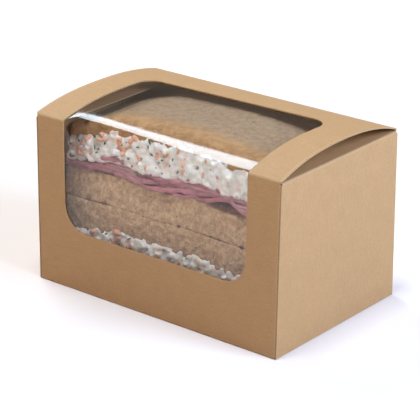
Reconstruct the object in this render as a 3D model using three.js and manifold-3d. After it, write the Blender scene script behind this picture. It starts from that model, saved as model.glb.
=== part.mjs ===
// Kraft paperboard sandwich box with a bowed top, a wrap-over window, tuck-in ends and two sandwich halves inside.
// Millimetres, +Z up. The origin is the middle of the base's underside, +X runs along the long side to the
// right-hand end, and the window faces -Y.

import * as THREE from 'three';
import { mergeVertices } from 'three/addons/utils/BufferGeometryUtils.js';
import Module from 'manifold-3d';

const wasm = await Module();
wasm.setup();

// The carton's outside sizes and its board
const boxLength = 125;
const boxDepth = 77;
const wallHeight = 72;
const board = 0.5;
const foldRadius = 0.9;
const paperGap = 0.3;

// How the filled carton has settled: the front leans back, the ends flare and the top bows up
const frontLean = 2.6;
const endFlare = 0.6;
const bowAtLeftEnd = 4.2;
const bowAtRightEnd = 6.1;
const bowFullness = 2.4;

// The window, cut through the front and the top as one opening
const windowLength = 95;
const windowSill = 25.6;
const sillRadius = 11;
const backStrip = 23;
const backCornerRadius = 7;

// The clear film glued behind it
const filmThickness = 0.25;
const filmMargin = 6;
const filmShoulder = 8;
const glueGap = 0.1;

// The end flaps, each an end panel hinged on the base with a tuck flap at its top
const tuckDepth = 14;
const tuckTaper = 6;
const tuckCornerRadius = 5;
const endPanelInset = 1.1;
const hingeGap = 0.15;

// The dust flaps and the glued seam flap
const dustFlapWidth = 24;
const dustFlapTaper = 3;
const dustCornerRadius = 4;
const dustFlapDrop = 1.8;
const seamFlapHeight = 14;
const seamFlapTaper = 6;
const lapInset = 0.02;

// The room that the stack of two sandwich halves leaves in the carton. It slumps back from the window as it
// rises, and its crown stands up into the bow.
const stackEndGap = 4.7;
const stackFrontGap = 4.7;
const stackBackGap = 2.6;
const stackSlump = 0.19;
const stackCrown = 1;
const foodGap = 0.3;

// The layers as they are cut and filled, before the carton presses the stack to its own height
const bottomSlice = 11;
const lowerMiddleSlice = 10.9;
const upperMiddleSlice = 11.9;
const topSlice = 7.4;
const lowerHam = 1.5;
const upperHam = 2.1;
const lowerSlaw = 8.8;
const upperSlaw = 9.6;
const crustRounding = 2.2;
const topCrustRounding = 7;
const breadCornerRadius = 9;
const rimFullness = 0.55;
const fillingSetback = 2;
const hamRounding = 0.8;
const hamFrill = 0.9;
const frillLength = 23;

// How the layers' surfaces lie off flat: drooping towards the ends, and waving
const topSlope = 8;
const topSlopePower = 2.8;
const rippleLength = 41;

// The lumps of cabbage that stand out of the coleslaw's cut face
const slawSetback = 0.8;
const slawLumps = 24;
const lumpSize = 2.4;
const lumpVariation = 0.5;
const lumpFlatness = 0.8;
const lumpHeightShare = 0.36;
const lumpMargin = 1.2;
const goldenShare = 0.618;

// Fineness of the curves
const bowSegments = 28;
const arcSegments = 5;
const sleeveSteps = 4;
const filmSteps = 6;
const sliceGrid = [26, 6];
const hamGrid = [22, 4];
const slawGrid = [20, 4];

const kraft = { color: 0xbf9568, roughness: 0.86, metalness: 0 };
const clearFilm = { color: 0xe9edf0, roughness: 0.08, metalness: 0, transparent: true, opacity: 0.25 };
const bread = { color: 0xb9966b, roughness: 0.95, metalness: 0 };
const ham = { color: 0xb06f7c, roughness: 0.45, metalness: 0 };
const coleslaw = { color: 0xdcd6c8, roughness: 0.5, metalness: 0 };

const halfLength = boxLength / 2;
const halfDepth = boxDepth / 2;
const dustFlapFace = halfLength - board - paperGap;
const breadLength = 2 * (dustFlapFace - board - stackEndGap);
const stackFront = -halfDepth + board + stackFrontGap;
const breadDepth = halfDepth - board - stackBackGap - stackSlump * wallHeight - stackFront;
const stackMiddle = stackFront + breadDepth / 2;
const stackBase = board + foodGap;
const stackTop = wallHeight - board + stackCrown;

// The stack's layers from the base up. slope is the share of the top's droop that a layer's upper surface has,
// and ripple how far that surface waves.
const layers = [
  { name: 'lower_sandwich_bottom_bread', kind: 'slice', thick: bottomSlice, slope: 0.1, ripple: 0.2 },
  { name: 'lower_sandwich_ham_1', kind: 'ham', thick: lowerHam, slope: 0.15, ripple: 0.3 },
  { name: 'lower_sandwich_ham_2', kind: 'ham', thick: lowerHam, slope: 0.2, ripple: 0.4 },
  { name: 'lower_sandwich_coleslaw', kind: 'slaw', thick: lowerSlaw, slope: 0.6, ripple: 0.3 },
  { name: 'lower_sandwich_top_bread', kind: 'slice', thick: lowerMiddleSlice, slope: 0.05, ripple: 0.2 },
  { name: 'upper_sandwich_bottom_bread', kind: 'slice', thick: upperMiddleSlice, slope: 0, ripple: 0.6 },
  { name: 'upper_sandwich_ham_1', kind: 'ham', thick: upperHam, slope: 0.05, ripple: 0.8 },
  { name: 'upper_sandwich_ham_2', kind: 'ham', thick: upperHam, slope: 0.15, ripple: 1 },
  { name: 'upper_sandwich_ham_3', kind: 'ham', thick: upperHam, slope: 0.3, ripple: 1.2 },
  { name: 'upper_sandwich_coleslaw', kind: 'slaw', thick: upperSlaw, slope: 0.95, ripple: 0.3 },
  {
    name: 'upper_sandwich_top_bread', kind: 'slice', thick: topSlice, slope: 1, ripple: 0.2, rim: topCrustRounding,
  },
];
const looseHeight = layers.reduce((sum, { thick }) => sum + thick, 0);
const pressed = (stackTop - stackBase - foodGap * (layers.length - 1)) / looseHeight;

// Turns a closed mesh into a solid that can be joined and cut
function solid(geometry) {
  const plain = geometry.clone();
  plain.deleteAttribute('normal');
  plain.deleteAttribute('uv');
  const merged = mergeVertices(plain, 1e-4);
  return new wasm.Manifold(new wasm.Mesh({
    numProp: 3,
    vertProperties: new Float32Array(merged.attributes.position.array),
    triVerts: new Uint32Array(merged.index.array),
  }));
}

function geometryOf(manifold) {
  const mesh = manifold.getMesh();
  const geometry = new THREE.BufferGeometry();
  geometry.setAttribute('position', new THREE.BufferAttribute(mesh.vertProperties, 3));
  geometry.setIndex(new THREE.BufferAttribute(mesh.triVerts, 1));
  geometry.computeVertexNormals();
  return geometry;
}

function warp(geometry, move) {
  const position = geometry.attributes.position;
  const point = new THREE.Vector3();
  for (let i = 0; i < position.count; i += 1) {
    point.fromBufferAttribute(position, i);
    move(point);
    position.setXYZ(i, point.x, point.y, point.z);
  }
  return geometry;
}

// Height of the bow over the flat top at one place, none at the front and back folds
function bow(x, y) {
  const rightShare = (x + halfLength) / boxLength;
  const rise = THREE.MathUtils.lerp(bowAtLeftEnd, bowAtRightEnd, rightShare);
  const across = Math.min(1, Math.abs(y) / halfDepth);
  return rise * (1 - across ** bowFullness);
}

// Carries the square-cornered carton to where the filled carton has settled. The bow starts at one height and
// lifts everything from the other one up by its full rise.
function settle(geometry, bowFrom = Infinity, bowFull = bowFrom) {
  return warp(geometry, (p) => {
    const up = p.z / wallHeight;
    const rising = p.z > bowFrom ? (p.z - bowFrom) / (bowFull - bowFrom) : 0;
    const lift = p.z >= bowFull ? bow(p.x, p.y) : rising * bow(p.x, p.y);
    p.x += (p.x / halfLength) * endFlare * up;
    p.y += frontLean * up * (halfDepth - p.y) / boxDepth;
    p.z += lift;
  });
}

// An outline drawn in Y and Z, extruded along +X from a start
function alongX(shape, start, length, steps = 1) {
  const geometry = new THREE.ExtrudeGeometry(shape, {
    depth: length, bevelEnabled: false, steps, curveSegments: arcSegments,
  });
  geometry.rotateX(Math.PI / 2);
  geometry.rotateZ(Math.PI / 2);
  geometry.translate(start, 0, 0);
  return geometry;
}

// An outline drawn in X and Z, extruded along +Y from a start
function alongY(shape, start, depth) {
  const geometry = new THREE.ExtrudeGeometry(shape, { depth, bevelEnabled: false, curveSegments: arcSegments });
  geometry.rotateX(Math.PI / 2);
  geometry.translate(0, start + depth, 0);
  return geometry;
}

// An outline drawn in X and Y, extruded along +Z from a start
function alongZ(shape, start, height) {
  const geometry = new THREE.ExtrudeGeometry(shape, {
    depth: height, bevelEnabled: false, curveSegments: arcSegments,
  });
  geometry.translate(0, 0, start);
  return geometry;
}

// A geometry turned over to the other end or wall, with its faces still outward
function mirrored(geometry, endSide, wallSide) {
  geometry.applyMatrix4(new THREE.Matrix4().makeScale(endSide, wallSide, 1));
  if (endSide * wallSide < 0) {
    const position = geometry.attributes.position;
    const second = new THREE.Vector3();
    const third = new THREE.Vector3();
    for (let i = 0; i < position.count; i += 3) {
      second.fromBufferAttribute(position, i + 1);
      third.fromBufferAttribute(position, i + 2);
      position.setXYZ(i + 1, third.x, third.y, third.z);
      position.setXYZ(i + 2, second.x, second.y, second.z);
    }
  }
  return geometry;
}

// A closed outline through corners that each have their own rounding
function roundedOutline(corners) {
  const shape = new THREE.Shape();
  corners.forEach(({ at, radius = 0 }, i) => {
    const here = new THREE.Vector2(...at);
    const before = new THREE.Vector2(...corners.at(i - 1).at).sub(here).normalize();
    const after = new THREE.Vector2(...corners[(i + 1) % corners.length].at).sub(here).normalize();
    const reach = radius / Math.tan(before.angleTo(after) / 2);
    const start = here.clone().addScaledVector(before, reach);
    const end = here.clone().addScaledVector(after, reach);
    if (i === 0) shape.moveTo(start.x, start.y);
    else shape.lineTo(start.x, start.y);
    if (radius > 0) shape.quadraticCurveTo(here.x, here.y, end.x, end.y);
  });
  shape.closePath();
  return shape;
}

// The sleeve's section in Y and Z at a depth inside its outer face, with enough points on top for the bow
function sleevePoints(inset, closed = true) {
  const side = halfDepth - inset;
  const low = inset;
  const high = wallHeight - inset;
  const radius = foldRadius - inset;
  const points = [];
  const corner = (y, z, from) => {
    for (let i = 0; i <= arcSegments; i += 1) {
      const angle = from + (i / arcSegments) * (Math.PI / 2);
      points.push(new THREE.Vector2(y + radius * Math.cos(angle), z + radius * Math.sin(angle)));
    }
  };
  if (closed) {
    corner(-side + radius, low + radius, Math.PI);
    corner(side - radius, low + radius, 1.5 * Math.PI);
  }
  corner(side - radius, high - radius, 0);
  for (let i = 1; i < bowSegments; i += 1) {
    const share = i / bowSegments;
    points.push(new THREE.Vector2(THREE.MathUtils.lerp(side - radius, -side + radius, share), high));
  }
  corner(-side + radius, high - radius, Math.PI / 2);
  return points;
}

// The ring of base, back, top and front. Its walls end where they fold into the dust flaps, its base ends at the
// hinge creases, and its top reaches over the end panels.
function sleeve() {
  const ring = new THREE.Shape(sleevePoints(0));
  ring.holes.push(new THREE.Path(sleevePoints(board).reverse()));
  const bowStart = wallHeight - foldRadius - lapInset;
  let body = solid(settle(alongX(ring, -halfLength, boxLength, sleeveSteps), bowStart));
  const beyond = 2 * foldRadius + endFlare;
  const cut = (near, low, high) => new THREE.Shape([
    new THREE.Vector2(near, low),
    new THREE.Vector2(halfLength + beyond, low),
    new THREE.Vector2(halfLength + beyond, high),
    new THREE.Vector2(near, high),
  ]);
  const wallEnd = cut(dustFlapFace - foldRadius, foldRadius, wallHeight - dustFlapDrop);
  const baseEnd = cut(halfLength - board - hingeGap, -beyond, foldRadius);
  for (const endSide of [-1, 1]) {
    for (const outline of [wallEnd, baseEnd]) {
      body = body.subtract(solid(mirrored(alongY(outline, -boxDepth, 2 * boxDepth), endSide, 1)));
    }
  }
  return body;
}

// One dust flap with the vertical fold that joins it to the front or back wall at one end. Its lap into the wall
// is a hair thinner than the wall.
function dustFlap(endSide, wallSide) {
  const foldCentre = halfDepth - foldRadius;
  const bendX = dustFlapFace - foldRadius;
  const freeEdge = foldCentre - dustFlapWidth;
  const outer = halfDepth - lapInset;
  const inner = halfDepth - board + lapInset;
  const lapEnd = bendX - board;
  const plan = new THREE.Shape();
  plan.moveTo(lapEnd, outer);
  plan.lineTo(bendX, outer);
  plan.absarc(bendX, foldCentre, foldRadius - lapInset, Math.PI / 2, 0, true);
  plan.lineTo(dustFlapFace - lapInset, freeEdge);
  plan.lineTo(dustFlapFace - board + lapInset, freeEdge);
  plan.lineTo(dustFlapFace - board + lapInset, foldCentre);
  plan.absarc(bendX, foldCentre, foldRadius - board + lapInset, 0, Math.PI / 2, false);
  plan.lineTo(lapEnd, inner);
  plan.closePath();
  const low = foldRadius;
  const high = wallHeight - dustFlapDrop;
  const outline = roundedOutline([
    { at: [boxDepth, low] },
    { at: [boxDepth, high] },
    { at: [foldCentre, high] },
    { at: [freeEdge, high - dustFlapTaper], radius: dustCornerRadius },
    { at: [freeEdge, low + dustFlapTaper], radius: dustCornerRadius },
    { at: [foldCentre, low] },
  ]);
  const flap = solid(settle(mirrored(alongZ(plan, 0, wallHeight), endSide, wallSide)));
  return flap.intersect(solid(mirrored(alongX(outline, 0, boxLength), endSide, wallSide)));
}

// The flap of the base's back edge that is glued up inside the back wall
function seamFlap() {
  const inner = halfDepth - 2 * board;
  const end = halfLength - 2 * board - paperGap - foldRadius;
  const outline = roundedOutline([
    { at: [-end, board / 2] },
    { at: [end, board / 2] },
    { at: [end - seamFlapTaper, seamFlapHeight] },
    { at: [-end + seamFlapTaper, seamFlapHeight] },
  ]);
  return solid(settle(alongY(outline, inner, 1.5 * board)));
}

// The window opening, as the two cutters that meet over the front fold
function windowCutters() {
  const halfWindow = windowLength / 2;
  const above = wallHeight + foldRadius;
  const frontCut = roundedOutline([
    { at: [-halfWindow, windowSill], radius: sillRadius },
    { at: [halfWindow, windowSill], radius: sillRadius },
    { at: [halfWindow, above] },
    { at: [-halfWindow, above] },
  ]);
  const topCut = roundedOutline([
    { at: [-halfWindow, -halfDepth - foldRadius] },
    { at: [halfWindow, -halfDepth - foldRadius] },
    { at: [halfWindow, halfDepth - backStrip], radius: backCornerRadius },
    { at: [-halfWindow, halfDepth - backStrip], radius: backCornerRadius },
  ]);
  const bowRoom = Math.max(bowAtLeftEnd, bowAtRightEnd) + foldRadius;
  const wallRoom = frontLean + 2 * foldRadius;
  return solid(alongY(frontCut, -halfDepth - foldRadius, wallRoom + foldRadius))
    .add(solid(alongZ(topCut, wallHeight - 2 * foldRadius, bowRoom + 2 * foldRadius)));
}

function cartonBody() {
  let body = sleeve().add(seamFlap());
  for (const endSide of [-1, 1]) {
    for (const wallSide of [-1, 1]) body = body.add(dustFlap(endSide, wallSide));
  }
  return geometryOf(body.subtract(windowCutters()));
}

// The film: up behind the front, round its shoulder and back under the top, past the window on every side
function windowFilm() {
  const face = -halfDepth + board + glueGap;
  const ceiling = wallHeight - board - glueGap;
  const low = windowSill - filmMargin;
  const back = halfDepth - backStrip + filmMargin;
  const centre = new THREE.Vector2(face + filmShoulder, ceiling - filmShoulder);
  const shoulderSegments = 2 * arcSegments;
  const ceilingSegments = bowSegments / 2;
  const skin = (inset) => {
    const points = [new THREE.Vector2(face + inset, low)];
    const radius = filmShoulder - inset;
    for (let i = 0; i <= shoulderSegments; i += 1) {
      const angle = Math.PI - (i / shoulderSegments) * (Math.PI / 2);
      points.push(new THREE.Vector2(centre.x + radius * Math.cos(angle), centre.y + radius * Math.sin(angle)));
    }
    for (let i = 1; i <= ceilingSegments; i += 1) {
      const y = THREE.MathUtils.lerp(centre.x, back, i / ceilingSegments);
      points.push(new THREE.Vector2(y, ceiling - inset));
    }
    return points;
  };
  const section = new THREE.Shape([...skin(filmThickness), ...skin(0).reverse()]);
  const length = windowLength + 2 * filmMargin;
  return settle(alongX(section, -length / 2, length, filmSteps), centre.y, ceiling - filmThickness);
}

// An end flap: the end panel from the base's crease up, and its tuck flap folded in under the bowed top
function endFlap(endSide) {
  const halfWidth = halfDepth - endPanelInset;
  const high = wallHeight - board - paperGap;
  const bendX = halfLength - foldRadius;
  const bendZ = high - foldRadius;
  const tip = halfLength - tuckDepth;
  const section = new THREE.Shape();
  section.moveTo(halfLength - board, board + hingeGap);
  section.lineTo(halfLength, board + hingeGap);
  section.lineTo(halfLength, bendZ);
  section.absarc(bendX, bendZ, foldRadius, 0, Math.PI / 2, false);
  section.lineTo(tip, high);
  section.lineTo(tip, high - board);
  section.lineTo(bendX, high - board);
  section.absarc(bendX, bendZ, foldRadius - board, Math.PI / 2, 0, true);
  section.closePath();
  const plan = roundedOutline([
    { at: [boxLength, -halfWidth] },
    { at: [boxLength, halfWidth] },
    { at: [bendX, halfWidth] },
    { at: [tip, halfWidth - tuckTaper], radius: tuckCornerRadius },
    { at: [tip, -halfWidth + tuckTaper], radius: tuckCornerRadius },
    { at: [bendX, -halfWidth] },
  ]);
  const folded = solid(mirrored(alongY(section, -boxDepth, 2 * boxDepth), endSide, 1));
  const trimmed = folded.intersect(solid(mirrored(alongZ(plan, -wallHeight, 3 * wallHeight), endSide, 1)));
  return settle(geometryOf(trimmed));
}

// How far a surface of the stack lies off its mean height at one place along the box
function wave(x, { slope, ripple }) {
  const towardsEnd = Math.min(1, Math.abs(x) / (breadLength / 2)) ** topSlopePower;
  return ripple * Math.sin((2 * Math.PI * x) / rippleLength) - slope * topSlope * towardsEnd;
}

// Rounds a square corner of the plan: a and b are the distances past the corner's centre
function roundPlanCorner(p, halfX, halfY, radius) {
  const a = Math.abs(p.x) - (halfX - radius);
  const b = Math.abs(p.y) - (halfY - radius);
  if (a > 0 && b > 0) {
    const share = Math.max(a, b) / Math.hypot(a, b);
    p.x = Math.sign(p.x) * (halfX - radius + a * share);
    p.y = Math.sign(p.y) * (halfY - radius + b * share);
  }
}

// A layer of the stack between two waving surfaces, its plan corners round and its rim rounded over. It is a box
// whose grid is drawn in towards the rim and moved.
function layerBlock(layer, low, high, below, { length, depth, rim, frill = 0, grid }) {
  const [alongSegments, acrossSegments] = grid;
  const block = new THREE.BoxGeometry(2, 2, 2, alongSegments, acrossSegments, 1);
  const halfX = length / 2;
  const halfY = depth / 2;
  return warp(block, (p) => {
    const isTopFace = p.z > 0;
    p.x = halfX * Math.sin((p.x * Math.PI) / 2);
    p.y = halfY * Math.sin((p.y * Math.PI) / 2);
    const fromRim = Math.min(halfX - Math.abs(p.x), halfY - Math.abs(p.y));
    const inside = Math.min(1, fromRim / rim);
    const fullness = THREE.MathUtils.lerp(rimFullness, 1, Math.sqrt(1 - (1 - inside) ** 2));
    const floor = low + wave(p.x, below);
    const ceiling = high + wave(p.x, layer);
    const middle = (floor + ceiling) / 2;
    const fullHeight = isTopFace ? ceiling : floor;
    roundPlanCorner(p, halfX, halfY, breadCornerRadius);
    if (p.y < 0) p.y -= frill * Math.sin((2 * Math.PI * p.x) / frillLength + low);
    p.z = THREE.MathUtils.lerp(middle, fullHeight, fullness);
    p.y += stackMiddle + stackSlump * p.z;
  });
}

function breadSlice(layer, low, high, below) {
  return layerBlock(layer, low, high, below, {
    length: breadLength, depth: breadDepth, rim: layer.rim ?? crustRounding, grid: sliceGrid,
  });
}

// A slice of ham, thin and wavy, that stands a little out of the cut face in a frill
function hamSlice(layer, low, high, below) {
  return layerBlock(layer, low, high, below, {
    length: breadLength - 2 * fillingSetback,
    depth: breadDepth,
    rim: hamRounding,
    frill: hamFrill,
    grid: hamGrid,
  });
}

// A layer of coleslaw: a core that the slices press flat, with lumps of cabbage standing out of its cut face
function slaw(layer, low, high, below) {
  const length = breadLength - 2 * fillingSetback;
  const depth = breadDepth - 2 * slawSetback;
  const core = { length, depth, rim: crustRounding, grid: slawGrid };
  let filling = solid(layerBlock(layer, low, high, below, core));
  for (let i = 0; i < slawLumps; i += 1) {
    const x = (length / 2 - breadCornerRadius) * (2 * ((i + 0.5) / slawLumps) - 1);
    const floor = low + wave(x, below);
    const ceiling = high + wave(x, layer);
    const upShare = (i * goldenShare) % 1;
    const sizeShare = (i * goldenShare * goldenShare) % 1;
    const wide = lumpSize * (1 + lumpVariation * (sizeShare - 0.5));
    const tall = Math.min(wide, lumpHeightShare * (ceiling - floor));
    const lump = new THREE.IcosahedronGeometry(1, 1);
    lump.scale(wide, lumpFlatness * wide, tall);
    const height = THREE.MathUtils.lerp(floor + lumpMargin * tall, ceiling - lumpMargin * tall, upShare);
    lump.translate(x, stackMiddle - depth / 2 + stackSlump * height, height);
    filling = filling.add(solid(lump));
  }
  return geometryOf(filling);
}

// The stack, one mesh for each slice and layer
function sandwichStack() {
  const makers = { slice: [breadSlice, bread], ham: [hamSlice, ham], slaw: [slaw, coleslaw] };
  let low = stackBase;
  let below = { slope: 0, ripple: 0 };
  layers.forEach((layer) => {
    const high = low + layer.thick * pressed;
    const [make, look] = makers[layer.kind];
    add(layer.name, make(layer, low, high, below), look);
    low = high + foodGap;
    below = layer;
  });
}

const sandwichBox = new THREE.Group();
sandwichBox.name = 'sandwich_box';

function add(name, geometry, look) {
  const mesh = new THREE.Mesh(geometry, new THREE.MeshStandardMaterial(look));
  mesh.name = name;
  sandwichBox.add(mesh);
}

add('carton_body', cartonBody(), kraft);
add('window_film', windowFilm(), clearFilm);
add('right_end_flap', endFlap(1), kraft);
add('left_end_flap', endFlap(-1), kraft);
sandwichStack();

export default sandwichBox;
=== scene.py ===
import math
import random

import bmesh
import bpy
from mathutils import Matrix, Vector, noise


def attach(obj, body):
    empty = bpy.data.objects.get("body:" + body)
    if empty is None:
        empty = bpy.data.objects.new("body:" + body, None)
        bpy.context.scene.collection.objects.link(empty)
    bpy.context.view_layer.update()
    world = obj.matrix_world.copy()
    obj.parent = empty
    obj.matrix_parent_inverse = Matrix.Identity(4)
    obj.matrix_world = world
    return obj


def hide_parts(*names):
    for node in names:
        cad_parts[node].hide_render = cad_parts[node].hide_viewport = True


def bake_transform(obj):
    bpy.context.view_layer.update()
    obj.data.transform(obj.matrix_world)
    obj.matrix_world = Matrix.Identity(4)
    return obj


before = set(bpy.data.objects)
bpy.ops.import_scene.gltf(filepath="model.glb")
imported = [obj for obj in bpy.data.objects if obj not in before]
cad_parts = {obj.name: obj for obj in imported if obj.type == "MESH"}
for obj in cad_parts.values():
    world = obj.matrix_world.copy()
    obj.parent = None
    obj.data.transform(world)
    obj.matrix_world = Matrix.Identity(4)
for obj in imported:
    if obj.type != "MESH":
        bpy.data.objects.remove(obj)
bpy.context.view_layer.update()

MM = 0.001

# The carton's outside sizes and its board
BOX_LENGTH = 125 * MM
BOX_DEPTH = 77 * MM
WALL_HEIGHT = 72 * MM
BOARD = 0.5 * MM
FOLD_RADIUS = 0.9 * MM
PAPER_GAP = 0.3 * MM
HALF_LENGTH = BOX_LENGTH / 2
HALF_DEPTH = BOX_DEPTH / 2

# Two places on a sheet that are nearer than this count as one
SAME_PLACE = 0.01 * MM

# How the filled carton has settled
FRONT_LEAN = 2.6 * MM
END_FLARE = 0.6 * MM
BOW_AT_LEFT_END = 4.2 * MM
BOW_AT_RIGHT_END = 6.1 * MM
BOW_FULLNESS = 2.4

# The window and the film behind it
WINDOW_LENGTH = 95 * MM
WINDOW_RIGHT_EDGE = 46.7 * MM
WINDOW_SILL = 25.6 * MM
SILL_RADIUS = 11 * MM
BACK_STRIP = 23 * MM
BACK_CORNER_RADIUS = 7 * MM
BACK_RIGHT_RADIUS = 9 * MM
FILM_THICKNESS = 0.12 * MM
FILM_MARGIN = 6 * MM
GLUE_GAP = 0.1 * MM
SHOULDER_DROP = (12 * MM, 3 * MM)
SHOULDER_REACH = (7.4 * MM, 2.4 * MM)
SHOULDER_AT_GLUE = 2.4 * MM
SHOULDER_EASE_START = -35 * MM
SHOULDER_EASE_LENGTH = 70 * MM
GLUED_OVERLAP = 1 * MM
GLUED_EASE = 6 * MM
FILM_COLUMNS = 100
FILM_ROWS = 110
FILM_RISE_END = 0.2
FILM_TURN_END = 0.75

# The flaps
TUCK_DEPTH = 14 * MM
TUCK_TAPER = 6 * MM
TUCK_CORNER_RADIUS = 5 * MM
TUCK_INSET = 0.8 * MM
END_PANEL_INSET = 0.15 * MM
PANEL_NECK = 0.3 * MM
PANEL_CORNER_RADIUS = 0.4 * MM
NECK_RADIUS = 0.2 * MM
HINGE_GAP = 0.15 * MM
DUST_FLAP_WIDTH = 24 * MM
DUST_FOLD_RADIUS = 0.45 * MM
DUST_GAP = 0.12 * MM
DUST_FLAP_TAPER = 3 * MM
DUST_CORNER_RADIUS = 4 * MM
DUST_FLAP_DROP = 1.4 * MM
SEAM_FLAP_HEIGHT = 14 * MM
SEAM_FLAP_TAPER = 6 * MM
SEAM_RADIUS = 0.6 * MM
SEAM_CLEARANCE = 0.05 * MM

# How finely the flat sheets are cut so that they can bend
CORNER_SEGMENTS = 10
FOLD_SEGMENTS = 6
SLEEVE_COLUMNS = 20
WALL_ROWS = 8
TOP_ROWS = 44
BASE_ROWS = 4
PANEL_COLUMNS = 12
PANEL_ROWS = 10
TUCK_ROWS = 3

# The stack of two sandwich halves
STACK_LEFT = -60 * MM
STACK_RIGHT = 57 * MM
BREAD_LENGTH = 113 * MM
BREAD_DEPTH = 55 * MM
STACK_FRONT = 5.2 * MM
STACK_SLUMP = 0.19
STACK_MIDDLE = -HALF_DEPTH + STACK_FRONT + BREAD_DEPTH / 2
TOP_SLOPE = 8 * MM
TOP_SLOPE_POWER = 2.8
RIPPLE_LENGTH = 41 * MM
BREAD_CORNER_RADIUS = 4 * MM
FILLING_SETBACK = 1 * MM
LIFTED_AT = 27 * MM
LIFTED_FOLD = 5.5 * MM
LIFTED_SPREAD = 7 * MM
BLOCK_HEIGHT = 10 * MM

# The bread's skin
BREAD_RIM = 0.4 * MM
TOP_SLICE_RIM = 3.4 * MM
BREAD_VOXEL = 0.7 * MM
HIDDEN_BREAD_VOXEL = 1.6 * MM
TOP_CRUST_REACH = 11 * MM
SIDE_CRUST_REACH = 1.5 * MM
CRUST_ROUGHNESS = 0.55
CRUMB_ROUGHNESS = 0.9
CRUMB_WAVES = ((0.7 * MM, 13 * MM), (0.35 * MM, 3.1 * MM), (0.4 * MM, 1 * MM))
PORE_DEPTH = 1.5 * MM
PORE_GRAIN = 1.5 * MM
PORE_LEVEL = 0.1

# The ham
HAM_SHEETS = 2
HAM_COLUMNS = 240
HAM_ROWS = 16
HAM_THICKNESS = 1.7 * MM
HAM_EDGE = 0.6 * MM
HAM_STACK = 7 * MM

# The cabbage, carrot and herbs
CABBAGE_VOXEL = 0.5 * MM
CABBAGE_WAVES = ((0.4 * MM, 2.4 * MM), (0.3 * MM, 1.2 * MM), (0.15 * MM, 0.7 * MM))
FRONT_LUMPS = 400
BACKING_LUMPS = 200
FRONT_SHREDS = 80
END_LUMPS = 90
BACKING_LUMP = Vector((2.4, 1.2, 1.6)) * MM
END_LUMP = Vector((1.6, 2.2, 1.4)) * MM
GAP_DEPTH = 3 * MM
GAP_GRAIN = 2.6 * MM
GAP_LEVEL = 0.3
CARROT_SHREDS = (34, ((1.0, 2.3), (0.7, 1.2), (0.6, 1.0)))
HERB_SHREDS = (60, ((0.5, 1.2), (0.3, 0.6), (0.2, 0.3)))

DICE = random.Random(11)


# Sheets of board

def along_folds(start, heading, runs, distance):
    """Where a distance along a folded strip lies in its section, and the outward direction there. Each run is a
    straight length and the radius of the quarter fold after it."""
    here = Vector(start)
    heading = Vector(heading)
    for length, radius in runs:
        outward = Vector((heading.y, -heading.x))
        if distance <= length or not radius:
            break
        centre = here + heading * length - outward * radius
        angle = (distance - length) / radius
        if angle < math.pi / 2:
            turned = outward * math.cos(angle) + heading * math.sin(angle)
            return centre + turned * radius, turned
        here = centre + heading * radius
        heading = -outward
        distance -= length + radius * math.pi / 2
    return here + heading * distance, outward


def fold_marks(runs, segments):
    """The distances along a folded strip where it has to be cut across so that it can bend."""
    marks = []
    at = 0.0
    for length, radius in runs:
        at += length
        if radius:
            arc = radius * math.pi / 2
            marks += [at + arc * i / segments for i in range(segments + 1)]
            at += arc
    return marks


def steps(low, high, count):
    """Evenly spaced values between two ends, without the ends."""
    return [low + (high - low) * i / count for i in range(1, count)]


def both_ways(values):
    return [-value for value in reversed(values)] + list(values)


def flat_sheet(outlines, across, along, grain_along=False):
    """A flat sheet between an outer outline and any openings, with its corners rounded, cut at the given places.
    The board's grain runs across it or along it."""
    bm = bmesh.new()
    for corners in outlines:
        verts = [bm.verts.new((x, y, 0)) for (x, y), _ in corners]
        for first, second in zip(verts, verts[1:] + verts[:1]):
            bm.edges.new((first, second))
        for vert, (_, radius) in zip(verts, corners):
            if radius:
                bmesh.ops.bevel(bm, geom=[vert], offset=radius, segments=CORNER_SEGMENTS, profile=0.5,
                                affect="VERTICES", material=-1)
    bmesh.ops.triangle_fill(bm, use_beauty=True, use_dissolve=True, edges=bm.edges[:], normal=(0, 0, 1))
    for axis, places in ((0, across), (1, along)):
        for place in places:
            through = Vector((0, 0, 0))
            through[axis] = place
            normal = Vector((0, 0, 0))
            normal[axis] = 1
            bmesh.ops.bisect_plane(bm, geom=bm.verts[:] + bm.edges[:] + bm.faces[:], dist=1e-7,
                                   plane_co=through, plane_no=normal)
    layer = bm.loops.layers.uv.new("blank")
    for face in bm.faces:
        for loop in face.loops:
            loop[layer].uv = loop.vert.co.yx if grain_along else loop.vert.co.xy
    return bm


def mirrored_outline(right):
    """The whole outline from its right-hand half, given from one end of the strip to the other."""
    return right + [((-x, y), radius) for (x, y), radius in reversed(right)]


def finished_object(name, bm, material_list, modifiers=(), sharp_degrees=40):
    """A mesh object with its modifiers applied, smooth faces and crisp edges past an angle."""
    mesh = bpy.data.meshes.new(name)
    bm.to_mesh(mesh)
    bm.free()
    piece = bpy.data.objects.new(name, mesh)
    bpy.context.scene.collection.objects.link(piece)
    for material in material_list:
        mesh.materials.append(material)
    for kind, settings in modifiers:
        modifier = piece.modifiers.new(kind.title(), kind)
        for key, value in settings.items():
            setattr(modifier, key, value)
    if modifiers:
        graph = bpy.context.evaluated_depsgraph_get()
        piece.data = bpy.data.meshes.new_from_object(piece.evaluated_get(graph))
        piece.modifiers.clear()
        piece.data.name = name
        bpy.data.meshes.remove(mesh)
    piece.data.shade_smooth()
    piece.data.set_sharp_from_angle(angle=math.radians(sharp_degrees))
    return piece


def bow(x, y):
    """Height of the bowed top over the flat one, none at the front and back folds."""
    right_share = (x + HALF_LENGTH) / BOX_LENGTH
    rise = BOW_AT_LEFT_END + (BOW_AT_RIGHT_END - BOW_AT_LEFT_END) * right_share
    across = min(1, abs(y) / HALF_DEPTH)
    return rise * (1 - across ** BOW_FULLNESS)


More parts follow.
